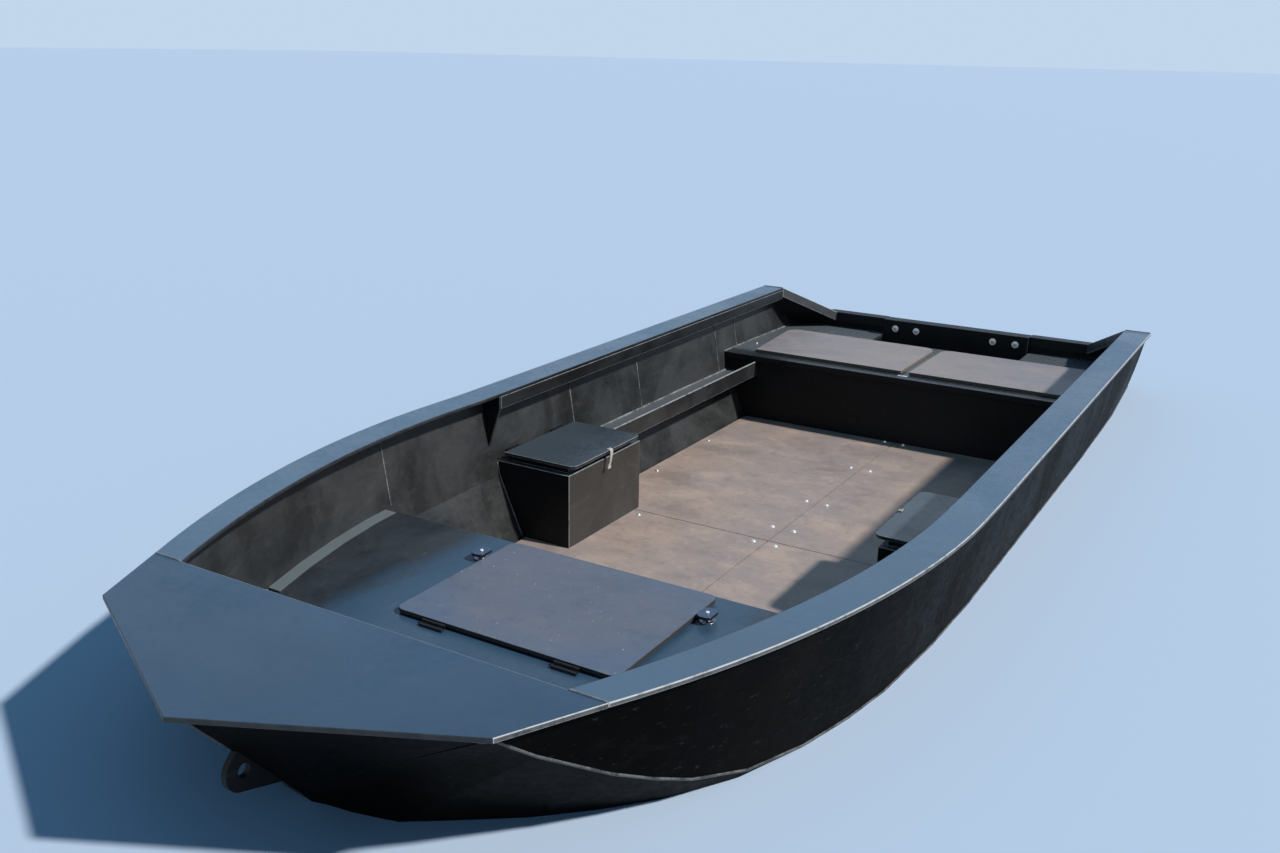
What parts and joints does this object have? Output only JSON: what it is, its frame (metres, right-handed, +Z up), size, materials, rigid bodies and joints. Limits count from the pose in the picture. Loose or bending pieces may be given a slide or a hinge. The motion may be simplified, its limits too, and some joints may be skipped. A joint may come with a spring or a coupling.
{
  "type": "flat-decked plastic work boat",
  "caption": "Open work boat of welded black plastic plate with plywood sole, bow hatch, side lockers and stern seat.",
  "frame": {"origin": "centreline, amidships, in the plane of the still water", "axes": "+X to the bow, +Y to port, +Z up"},
  "size_m": [5.0892, 2.004, 0.7086],
  "materials": {
    "black_plate": "satin, scuffed",
    "film_ply": "dark film, worn",
    "hinge_steel": "dull"
  },
  "bodies": {
    "hull": {"bottom_port": "black_plate", "bottom_starboard": "black_plate", "bow_bulkhead": "black_plate", "bow_deck": "black_plate", "bow_eye": "black_plate", "box_port": "black_plate", "box_starboard": "black_plate", "corner_caps": "black_plate", "corner_plates": "black_plate", "deck_strips": "black_plate", "foredeck": "black_plate", "hatch_coaming": "black_plate", "hatch_latches": "black_plate", "hinge_cleats": "black_plate", "hinge_leaves_fixed": "hinge_steel", "motor_board": "black_plate", "motor_well": "black_plate", "rail_aft_port": "black_plate", "rail_aft_starboard": "black_plate", "rail_fore_port": "black_plate", "rail_fore_starboard": "black_plate", "rail_knees": "black_plate", "rail_lips": "black_plate", "seat_deck": "black_plate", "seat_wall": "black_plate", "side_port": "black_plate", "side_starboard": "black_plate", "sole_aft_port": "film_ply", "sole_aft_starboard": "film_ply", "sole_fore_port": "film_ply", "sole_fore_starboard": "film_ply", "sole_frame": "black_plate", "transom": "black_plate", "transom_caps": "black_plate", "tray_port": "black_plate", "tray_starboard": "black_plate"},
    "hatch": {"hatch_lid": "film_ply", "hinge_leaves_hatch": "hinge_steel"},
    "locker_lid_port": {"box_lid_port": "black_plate", "hinge_leaves_box_port": "hinge_steel"},
    "locker_lid_starboard": {"box_lid_starboard": "black_plate", "hinge_leaves_box_starboard": "hinge_steel"},
    "seat_hatch_port": {"seat_lid_port": "film_ply", "hinge_leaves_seat_port": "hinge_steel"},
    "seat_hatch_starboard": {"seat_lid_starboard": "film_ply", "hinge_leaves_seat_starboard": "hinge_steel"}
  },
  "joints": [
    {"name": "hatch_hinge", "type": "hinge", "parent": "hull", "child": "hatch", "pos_m": [1.5225, 0, 0.086], "axis": [0, 1, 0], "range_deg": [0, 100]},
    {"name": "locker_hinge_port", "type": "hinge", "parent": "hull", "child": "locker_lid_port", "pos_m": [0.0595, 0.90586, 0.095], "axis": [-1, 0, 0], "range_deg": [0, 75]},
    {"name": "locker_hinge_starboard", "type": "hinge", "parent": "hull", "child": "locker_lid_starboard", "pos_m": [0.0595, -0.90586, 0.095], "axis": [1, 0, 0], "range_deg": [0, 75]},
    {"name": "seat_hinge_port", "type": "hinge", "parent": "hull", "child": "seat_hatch_port", "pos_m": [-2.2365, 0.43, 0.11], "axis": [0, -1, 0], "range_deg": [0, 95]},
    {"name": "seat_hinge_starboard", "type": "hinge", "parent": "hull", "child": "seat_hatch_starboard", "pos_m": [-2.2365, -0.43, 0.11], "axis": [0, -1, 0], "range_deg": [0, 95]}
  ]
}
